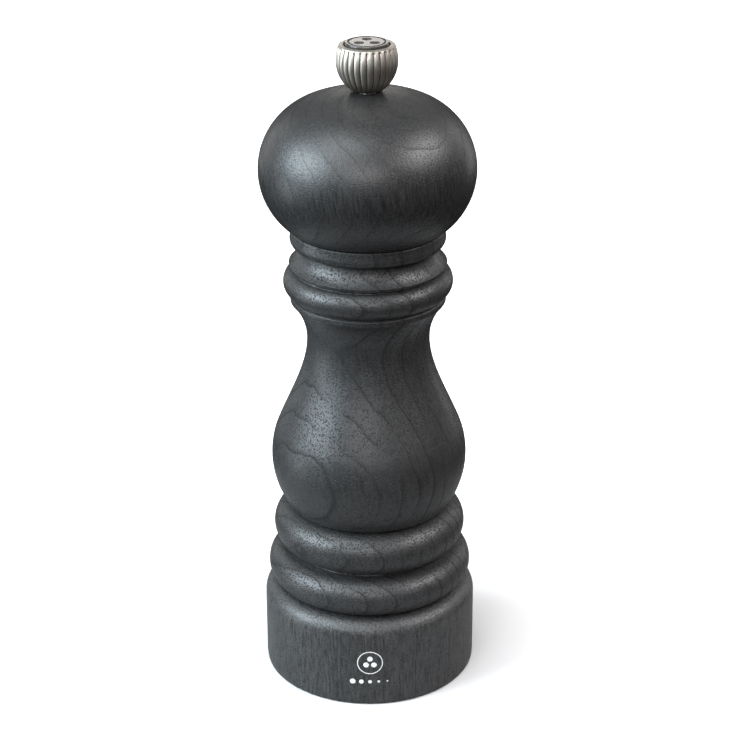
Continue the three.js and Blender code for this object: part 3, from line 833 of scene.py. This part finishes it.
def make_clips_and_rings():
    for node, inner, outer, opening in (
        ("shaft_clip_lower", 3.1, 5.6, 70),
        ("shaft_clip_upper", 3.1, 5.6, 70),
        ("selector_snap_ring", 14.7, 17.4, 30),
    ):
        mesh = finished(plate_mesh(node, open_ring(inner, outer, opening), *levels(node), ease=0.1))
        piece(node + "_fine", mesh, SPRING_STEEL, node)
    for node in ("thrust_washer", "spring_washer"):
        low, high = levels(node)
        outer = reach(node)
        outline = eased([(ROUND_HOLE_R, low), (outer, low), (outer, high), (ROUND_HOLE_R, high)], 0.15)
        piece(node + "_fine", finished(to_mesh(node, *revolved(outline, SMALL_SIDES))), ZINC, node)


def make_spring():
    """The compression spring, with its end coils closed."""
    wire, radius, turns = 0.6, 6.5, 5
    low, high = levels("rotor_spring")
    low, high = low + wire, high - wire
    flat = 0.75  # turns of each end that lie nearly flat
    path = []
    for i in range(turns * 40 + 1):
        turn = i / 40
        middle_share = min(max((turn - flat) / (turns - 2 * flat), 0), 1)
        end_rise = 0.9 * wire * (min(turn, flat) + max(turn - turns + flat, 0)) / flat
        z = low + end_rise + (high - low - 1.8 * wire) * middle_share
        path.append((radius * math.cos(2 * math.pi * turn), radius * math.sin(2 * math.pi * turn), z))
    mesh = finished(to_mesh("burr_spring", *tube(path, wire)))
    spring = piece("burr_spring", mesh, SPRING_STEEL, "rotor_spring")
    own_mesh(spring)


def make_drive_plate():
    low, high = levels("drive_plate")
    half = SQUARE_HOLE_HALF
    square = [(half, -half), (half, half), (-half, half), (-half, -half)]
    loops = [ring_loop(13), square]
    for node in SCREWS_IN_PLATE:
        x, y = middle(node)
        loops.append([(x + u, y + v) for u, v in ring_loop(1.4, 32)])
    piece("drive_plate_fine", finished(plate_mesh("drive_plate", loops, low, high)), ZINC, "drive_plate")


# ---------------------------------------------------------------- grinder

ARM_W = 4.2
HOUSING_R = 15.2
HOUSING_INNER_R = 13.2
STATOR_LOW, STATOR_HIGH = levels("stator_ring")
ROTOR_LOW, ROTOR_HIGH = levels("rotor")
CONE_SLOPE = 0.28
CONE_TOP = 20.7
STATOR_MOUTH_R = 11.2
GRIND_GAP = 0.85
ROTOR_TEETH = 14
STATOR_TEETH = 20
TOOTH_DEPTH = 0.16  # as a share of the radius


def saw(angle, teeth, twist):
    """A saw tooth's height, from 1 at its tip to 0 at its root."""
    share = ((angle - twist) * teeth / (2 * math.pi)) % 1.0
    return 1 - share / 0.3 if share < 0.3 else (share - 0.3) / 0.7


def make_rotor():
    rows = 40
    twist = math.radians(70)

    def profile(angle):
        hole = square_radius(angle, SQUARE_HOLE_HALF)
        cone = []
        for i in range(rows + 1):
            z = ROTOR_LOW + (ROTOR_HIGH - ROTOR_LOW) * i / rows
            tip = STATOR_MOUTH_R - GRIND_GAP - CONE_SLOPE * (z - STATOR_LOW)
            tooth = saw(angle, ROTOR_TEETH, twist * i / rows)
            cone.append((tip * (1 - TOOTH_DEPTH * (1 - tooth)), z))
        return [(hole, ROTOR_LOW), *cone, (hole, ROTOR_HIGH)]

    mesh = finished(to_mesh("burr_rotor", *revolved(profile, ROTOR_TEETH * 20)))
    piece("burr_rotor", mesh, BURR_STEEL, "rotor")


def make_stator():
    rows = 24
    outer = reach("stator_ring")
    full = math.radians(-40)

    def profile(angle):
        bore = []
        for i in range(rows, -1, -1):
            z = STATOR_LOW + (STATOR_HIGH - STATOR_LOW) * i / rows
            tip = STATOR_MOUTH_R - CONE_SLOPE * (min(z, CONE_TOP) - STATOR_LOW)
            turn = full * (z - STATOR_LOW + 1) / (STATOR_HIGH - STATOR_LOW + 2)
            bore.append((tip * (1 + TOOTH_DEPTH * 0.7 * (1 - saw(angle, STATOR_TEETH, turn))), z))
        return [(outer - 0.2, STATOR_LOW), (outer, STATOR_LOW + 0.2), (outer, STATOR_HIGH), *bore]

    mesh = finished(to_mesh("burr_stator", *revolved(profile, STATOR_TEETH * 16)))
    piece("burr_stator", mesh, BURR_STEEL, "stator_ring")


def make_housing():
    low, high = levels("grinder_housing")
    snap_low, snap_high = levels("selector_snap_ring")
    flange_r, flange_low, flange_high = 21.6, 22.9, BODY_LOW - GAP
    ledge = STATOR_HIGH + GAP
    outline = eased(
        [
            (HOUSING_INNER_R, low),
            (HOUSING_R, low),
            (HOUSING_R, snap_low - GAP),
            (HOUSING_R - 0.8, snap_low - GAP),
            (HOUSING_R - 0.8, snap_high + GAP),
            (HOUSING_R, snap_high + GAP),
            (HOUSING_R, flange_low),
            (flange_r, flange_low),
            (flange_r, flange_high),
            (HOUSING_R, flange_high),
            (HOUSING_R, high),
            (HOUSING_INNER_R, high),
            (HOUSING_INNER_R, ledge + 2),
            (11.4, ledge + 1.4),
            (11.4, ledge),
            (HOUSING_INNER_R, ledge),
        ],
        0.2,
        steps=2,
    )
    slot_top = levels("thrust_collar")[1] + 1.8
    half = ARM_W / 2 + 0.4
    slots = [box_mesh((10, -half, low - 1), (18, half, slot_top), turn) for turn in THIRDS]
    holes = [rod_mesh(*middle(n), 1.6, flange_low - 1, flange_high + 1) for n in SCREWS_IN_HOUSING]
    holes.append(rod_mesh(*middle("click_spring_screw"), 1.1, flange_low - 1, flange_high + 1))
    mesh = finished(to_mesh("grinder_housing", *revolved(outline, 120)))
    mesh = finished(carved(mesh, slots + holes))
    piece("burr_housing", mesh, BLACK_PLASTIC, "grinder_housing")


def make_bridge():
    hub, rim, spoke = 8.4, 13.0, 24
    loops = [ring_loop(HOUSING_R), ring_loop(ROUND_HOLE_R, 64)]
    for arm in THIRDS:
        start, end = arm + spoke / 2, arm + 120 - spoke / 2
        loops.append(ring_loop(rim, 28, start, end) + ring_loop(hub, 28, start, end)[::-1])
    mesh = finished(plate_mesh("bearing_bridge", loops, *levels("bearing_bridge"), ease=0.3))
    piece("shaft_bridge", mesh, BLACK_PLASTIC, "bearing_bridge")


def make_collar():
    """The three-armed thrust collar."""
    hub, tip = 8.2, 19.0
    half = ARM_W / 2
    root = math.degrees(math.asin(half / hub))
    outline = []
    for arm in THIRDS:
        a = math.radians(arm)
        for side in (-half, half):
            x = tip * math.cos(a) - side * math.sin(a)
            y = tip * math.sin(a) + side * math.cos(a)
            outline.append((x, y))
        outline.extend(ring_loop(hub, 20, arm + root, arm + 120 - root))
    loops = [outline, ring_loop(ROUND_HOLE_R, 64)]
    mesh = finished(plate_mesh("thrust_collar", loops, *levels("thrust_collar"), ease=0.25))
    piece("collar_spider", mesh, GREY_PLASTIC, "thrust_collar")


def make_cam():
    """The selector's cam: three ramps inside a notched rim."""
    bore, wall, outer = 15.6, 19.5, 21.7
    low, high = levels("selector_cam")
    floor = levels("thrust_collar")[0] - GAP
    rise, full, rest = 1.5, 100, 6
    notches = [105 - 20 * i for i in range(6)]

    def track(angle):
        turn = (THIRDS[0] - math.degrees(angle)) % 120
        if turn > full + rest:
            return floor + rise * max(1 - (turn - full - rest) / 3, 0)
        return floor + rise * min(turn / full, 1)

    def rim(angle):
        near = min(abs((math.degrees(angle) - n + 180) % 360 - 180) for n in notches)
        return high - min(max((3.2 - near) / 0.8, 0), 1)

    def profile(angle):
        top, step = rim(angle), track(angle)
        outside = [(bore, low), (outer, low), (outer, top - 0.15), (outer - 0.15, top)]
        return [*outside, (wall, top), (wall, step), (bore, step)]

    mesh = finished(to_mesh("selector_cam", *revolved(profile, 540)))
    piece("cam_ring", mesh, GREY_PLASTIC, "selector_cam")


def dress_cad_nodes():
    """CAD nodes that keep their own mesh."""
    spring = frame["nodes"]["click_spring"]
    spring.data.materials.clear()
    spring.data.materials.append(SPRING_STEEL)


# ---------------------------------------------------------------- studio

TABLE_R = 0.13
LAMP_DISTANCE = 0.9
LAMP_TARGET = Vector((0, 0, 0.1))
WORLD_TONES = ((-90, 0.02), (-16, 0.015), (8, 0.02), (35, 0.4), (60, 0.5), (90, 0.3))  # elevation, grey


def make_floor():
    """A pale floor for the camera, and a greyer table top that lights the mill from below."""
    size = 6.0
    square = [(-size, -size, 0), (size, -size, 0), (size, size, 0), (-size, size, 0)]
    disc = [(TABLE_R * x, TABLE_R * y, 0) for x, y in ring_loop(1.0)]
    floors = []
    for name, outline, depth, grey, glow in (
        ("studio_floor", square, -0.0002, 0.6, 1.1),
        ("table_top", disc, -0.0006, 0.26, 0.0),
    ):
        mesh = bpy.data.meshes.new(name)
        mesh.from_pydata(outline, [], [tuple(range(len(outline)))])
        mesh.materials.append(floor_paint(name + "_paint", grey, glow))
        floor = bpy.data.objects.new(name, mesh)
        floor.location.z = depth
        bpy.context.scene.collection.objects.link(floor)
        floors.append(floor)
    floors[0].visible_diffuse = False
    floors[0].visible_glossy = False
    floors[0].visible_shadow = False
    floors[1].visible_camera = False


def softbox(name, azimuth, elevation, width, height, power, colour):
    """An area light aimed at the mill's middle. Azimuth 0 is in front, and 90 on the right."""
    light = bpy.data.lights.new(name, "AREA")
    light.shape = "RECTANGLE"
    light.size, light.size_y = width, height
    light.energy = power
    light.color = colour
    a, e = math.radians(azimuth), math.radians(elevation)
    way = Vector((math.sin(a) * math.cos(e), -math.cos(a) * math.cos(e), math.sin(e)))
    holder = bpy.data.objects.new(name, light)
    holder.location = LAMP_TARGET + way * LAMP_DISTANCE
    holder.visible_camera = False
    holder.rotation_euler = (-way).to_track_quat("-Z", "Y").to_euler()
    bpy.context.scene.collection.objects.link(holder)


def make_world():
    """Soft light from above over dark surroundings, in front of a pale backdrop."""
    world = bpy.data.worlds.new("studio")
    world.use_nodes = True
    tree = world.node_tree
    background = tree.nodes["Background"]
    coordinate = tree.nodes.new("ShaderNodeTexCoord")
    parts = tree.nodes.new("ShaderNodeSeparateXYZ")
    ramp = tree.nodes.new("ShaderNodeValToRGB")
    height = tree.nodes.new("ShaderNodeMapRange")
    height.inputs[1].default_value = -1
    tree.links.new(coordinate.outputs["Generated"], parts.inputs[0])
    tree.links.new(parts.outputs[2], height.inputs[0])
    tree.links.new(height.outputs[0], ramp.inputs[0])
    sight = tree.nodes.new("ShaderNodeLightPath")
    backdrop = tree.nodes.new("ShaderNodeMix")
    backdrop.data_type = "RGBA"
    backdrop.inputs[7].default_value = (1, 1, 1, 1)
    tree.links.new(sight.outputs["Is Camera Ray"], backdrop.inputs[0])
    tree.links.new(ramp.outputs[0], backdrop.inputs[6])
    tree.links.new(backdrop.outputs[2], background.inputs["Color"])
    while len(ramp.color_ramp.elements) < len(WORLD_TONES):
        ramp.color_ramp.elements.new(0.5)
    for element, (elevation, grey) in zip(ramp.color_ramp.elements, WORLD_TONES):
        element.position = (1 + math.sin(math.radians(elevation))) / 2
        element.color = (grey, grey, grey, 1)
    bpy.context.scene.world = world


def make_lights():
    softbox("key_left", -74, 26, 0.65, 0.5, 16.5, (0.78, 0.92, 1.0))
    softbox("fill_right", 78, 42, 0.7, 0.34, 7.6, (1.0, 0.98, 1.0))
    softbox("front", -6, 30, 0.6, 0.25, 3.8, (1.0, 0.98, 1.0))
    softbox("top", -50, 64, 0.6, 0.5, 5.8, (0.92, 0.97, 1.0))
    softbox("low_left", -88, -10, 0.24, 0.3, 1.4, (0.9, 0.96, 1.0))
    softbox("rim_left", -138, 8, 0.25, 0.6, 0.8, (1.0, 0.98, 0.98))
    softbox("rim_right", 135, 8, 0.25, 0.6, 0.9, (1.0, 0.98, 0.97))
    softbox("behind", 180, 18, 0.3, 0.1, 0.35, (1.0, 0.97, 0.93))
    bpy.context.scene.view_settings.view_transform = "Standard"


def make_camera():
    """A long lens that looks down at the mill, very slightly rolled."""
    camera = bpy.data.objects.new("camera", bpy.data.cameras.new("camera"))
    camera.data.lens = 105.0
    camera.data.sensor_width = 36.0
    camera.data.clip_start = 0.05
    camera.data.clip_end = 20
    pitch, roll = math.radians(90 - 24.304), math.radians(-0.28)
    camera.location = (0.0004, -0.5354, 0.33)
    camera.rotation_euler = (Matrix.Rotation(pitch, 3, "X") @ Matrix.Rotation(roll, 3, "Z")).to_euler()
    bpy.context.scene.collection.objects.link(camera)
    bpy.context.scene.camera = camera


make_camera()
make_wood()
make_front_mark()
make_knob()
make_knob_disc()
make_thread_bush()
make_shaft()
for screw in SCREWS_IN_PLATE:
    make_screw(screw, 1.1)
for screw in SCREWS_IN_HOUSING:
    make_screw(screw, 1.2)
make_screw("click_spring_screw", 0.8, pitch=0.5)
make_clips_and_rings()
make_spring()
make_drive_plate()
make_rotor()
make_stator()
make_housing()
make_bridge()
make_collar()
make_cam()
dress_cad_nodes()
make_floor()
make_world()
make_lights()
